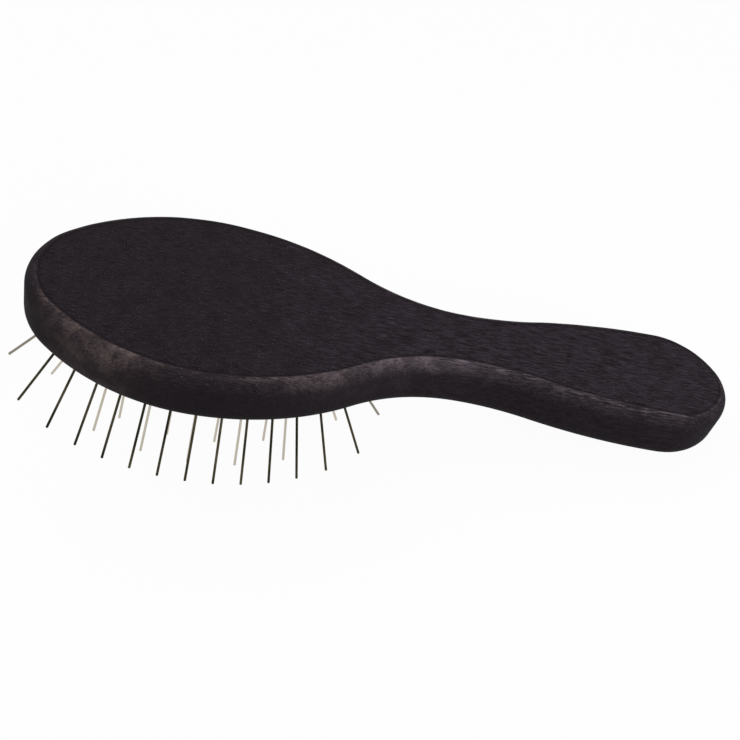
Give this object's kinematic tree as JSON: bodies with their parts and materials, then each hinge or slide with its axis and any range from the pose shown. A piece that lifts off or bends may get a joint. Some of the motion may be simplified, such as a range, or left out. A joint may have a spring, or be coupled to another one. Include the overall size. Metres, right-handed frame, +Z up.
{
  "type": "pin brush",
  "caption": "Oval wooden pin brush for a dog's coat: waisted grip, flat back, rubber cushion pad and headed steel pins, lying on its pins and the grip's end.",
  "frame": {"origin": "centre of the footprint, on the surface that the brush lies on", "axes": "+X from the head's tip towards the grip's end, +Z up, +Y across the brush; the brush lies pins down, so its back slopes down towards the grip's end"},
  "size_m": [0.2242, 0.0722, 0.0676],
  "materials": {
    "stained_wood": "open-grained hardwood, stained purple-black, matt",
    "rubber": "smooth black rubber, satin",
    "steel": "drawn wire, dull grey"
  },
  "bodies": {
    "root": {"wooden_body": "stained_wood", "rubber_pad": "rubber", "pins_ring_1_01": "steel", "pins_ring_1_02": "steel", "pins_ring_1_03": "steel", "pins_ring_1_04": "steel", "pins_ring_1_05": "steel", "pins_ring_1_06": "steel", "pins_ring_1_07": "steel", "pins_ring_1_08": "steel", "pins_ring_1_09": "steel", "pins_ring_1_10": "steel", "pins_ring_1_11": "steel", "pins_ring_1_12": "steel", "pins_ring_1_13": "steel", "pins_ring_1_14": "steel", "pins_ring_1_15": "steel", "pins_ring_2_01": "steel", "pins_ring_2_02": "steel", "pins_ring_2_03": "steel", "pins_ring_2_04": "steel", "pins_ring_2_05": "steel", "pins_ring_2_06": "steel", "pins_ring_2_07": "steel", "pins_ring_3_01": "steel", "pins_ring_3_02": "steel", "pins_ring_3_03": "steel", "pins_ring_3_04": "steel", "pins_ring_4_01": "steel", "pins_ring_4_02": "steel", "pins_ring_4_03": "steel", "pins_ring_4_04": "steel"}
  },
  "joints": []
}
